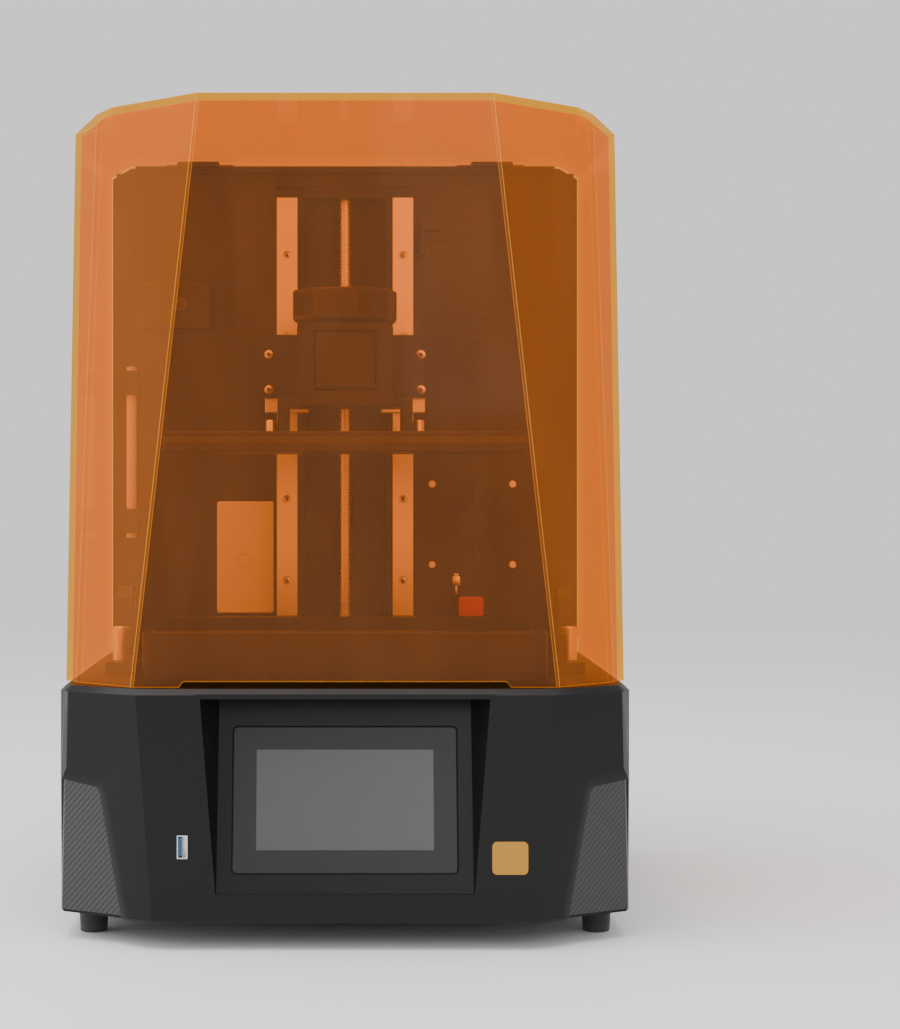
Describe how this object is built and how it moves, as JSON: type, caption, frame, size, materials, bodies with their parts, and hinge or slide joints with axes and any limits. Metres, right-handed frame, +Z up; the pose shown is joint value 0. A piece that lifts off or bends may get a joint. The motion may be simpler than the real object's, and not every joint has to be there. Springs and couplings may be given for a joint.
{
  "type": "resin 3D printer",
  "caption": "Desktop resin printer: black base with tilted touch screen, faceted orange flip-up hood, resin vat, and a build platform on a twin-rail ball screw lift.",
  "frame": {"origin": "on the ground under the middle of the printer", "axes": "+Z up, +X to the right seen from the front, the front faces -Y"},
  "size_m": [0.361, 0.38, 0.5325],
  "materials": {
    "housing_black": "fine moulded black plastic",
    "vent_weave": "woven carbon look inlay",
    "black_steel": "black powder coat",
    "foot_rubber": "matt black rubber",
    "bezel_grey": "dark grey screen surround",
    "screen_glass": "touch screen, switched off",
    "lcd_glass": "black display glass",
    "bare_steel": "ground steel",
    "port_steel": "nickel plated steel",
    "port_blue": "blue contact tongue",
    "badge_gold": "gold coloured plate",
    "black_anodised": "black anodised",
    "bare_aluminium": "machined",
    "vat_aluminium": "dark anodised",
    "film_clear": "clear release film",
    "hood_orange": "orange see-through plastic, blocks ultraviolet",
    "panel_black": "black inner lining",
    "white_plastic": "white filter cover",
    "lamp_glass": "frosted lamp tube",
    "lens_glass": "camera lens",
    "sensor_red": "red sensor housing",
    "board_green": "circuit board",
    "led_white": "lens board",
    "fan_black": "black fan plastic"
  },
  "bodies": {
    "chassis": {"back_panel": "panel_black", "badge_plate": "badge_gold", "base_housing": "housing_black", "base_plate": "black_steel", "camera_housing": "panel_black", "camera_lens": "lens_glass", "chamber_fan_frame": "fan_black", "deck_plate": "black_steel", "endstop_sensor": "panel_black", "heat_sink": "bare_aluminium", "hinge_blocks": "panel_black", "hinge_pins": "bare_steel", "hood_catches": "panel_black", "inner_panel": "panel_black", "lcd_screen": "lcd_glass", "led_array": "led_white", "light_bar_brackets": "panel_black", "light_bar_tube": "lamp_glass", "light_engine": "bare_aluminium", "linear_rails": "bare_steel", "mainboard": "board_green", "panel_screws": "bare_steel", "power_inlet": "panel_black", "power_supply": "bare_steel", "rail_screws": "bare_steel", "rear_fan_frame": "fan_black", "rear_housing": "housing_black", "resin_sensor": "sensor_red", "rubber_feet": "foot_rubber", "screw_bearings": "black_anodised", "side_vents": "vent_weave", "touch_bezel": "bezel_grey", "touch_glass": "screen_glass", "usb_shell": "port_steel", "usb_tongue": "port_blue", "z_column": "black_anodised", "z_motor": "black_steel"},
    "hood": {"hood_shell": "hood_orange", "hood_hinge_arms": "panel_black"},
    "lift_screw": {"ball_screw": "bare_steel", "shaft_coupling": "bare_aluminium"},
    "carriage": {"bearing_blocks": "bare_steel", "carriage_plate": "black_anodised", "carriage_screws": "bare_steel", "nut_block": "black_anodised", "ball_nut": "bare_steel", "arm_bracket": "black_anodised"},
    "platform": {"build_plate": "black_anodised", "platform_bracket": "black_anodised", "platform_screws": "bare_steel"},
    "clamp_shoe": {"clamp_shoe": "bare_steel"},
    "clamp_knob": {"clamp_knob": "panel_black"},
    "vat": {"vat_frame": "vat_aluminium", "release_film": "film_clear"},
    "vat_screw_left": {"vat_screw_left": "bare_steel"},
    "vat_screw_right": {"vat_screw_right": "bare_steel"},
    "filter_cover": {"filter_cover": "white_plastic"},
    "power_rocker": {"power_rocker": "panel_black"},
    "chamber_fan": {"chamber_fan_rotor": "fan_black"},
    "rear_fan": {"rear_fan_rotor": "fan_black"}
  },
  "joints": [
    {"name": "hood_hinge", "type": "hinge", "parent": "chassis", "child": "hood", "pos_m": [0, 0.1173, 0.5275], "axis": [-1, 0, 0], "range_deg": [0, 75]},
    {"name": "carriage_slide", "type": "slide", "parent": "chassis", "child": "carriage", "axis": [0, 0, 1], "range_m": [-0.147, 0.095]},
    {"name": "screw_spin", "type": "hinge", "parent": "chassis", "child": "lift_screw", "pos_m": [0, 0.091, 0.3], "axis": [0, 0, 1], "continuous": true},
    {"name": "platform_slide", "type": "slide", "parent": "carriage", "child": "platform", "axis": [0, -1, 0], "range_m": [0, 0.05]},
    {"name": "clamp_lift", "type": "slide", "parent": "platform", "child": "clamp_shoe", "axis": [0, 0, 1], "range_m": [0, 0.00151]},
    {"name": "knob_turn", "type": "hinge", "parent": "clamp_shoe", "child": "clamp_knob", "pos_m": [0, -0.053, 0.41], "axis": [0, 0, 1], "range_deg": [0, 360]},
    {"name": "vat_lift", "type": "slide", "parent": "chassis", "child": "vat", "axis": [0, 0, 1], "range_m": [0, 0.09]},
    {"name": "vat_screw_left_turn", "type": "hinge", "parent": "vat", "child": "vat_screw_left", "pos_m": [-0.1515, -0.065, 0.17], "axis": [0, 0, 1], "range_deg": [0, 720]},
    {"name": "vat_screw_right_turn", "type": "hinge", "parent": "vat", "child": "vat_screw_right", "pos_m": [0.1515, -0.065, 0.17], "axis": [0, 0, 1], "range_deg": [0, 720]},
    {"name": "filter_pull", "type": "slide", "parent": "chassis", "child": "filter_cover", "axis": [0, -1, 0], "range_m": [0, 0.03]},
    {"name": "rocker_tilt", "type": "hinge", "parent": "chassis", "child": "power_rocker", "pos_m": [0.11925, 0.1845, 0.062], "axis": [-1, 0, 0], "range_deg": [0, 20]},
    {"name": "chamber_fan_spin", "type": "hinge", "parent": "chassis", "child": "chamber_fan", "pos_m": [0.096, 0.12, 0.2586], "axis": [0, 1, 0], "continuous": true},
    {"name": "rear_fan_spin", "type": "hinge", "parent": "chassis", "child": "rear_fan", "pos_m": [-0.072, 0.175, 0.086], "axis": [0, 1, 0], "continuous": true}
  ],
  "couplings": [
    {"joint": "screw_spin", "follows": "carriage_slide", "rad_per_m": -1570.8},
    {"joint": "clamp_lift", "follows": "knob_turn", "m_per_rad": 0.00023873}
  ]
}
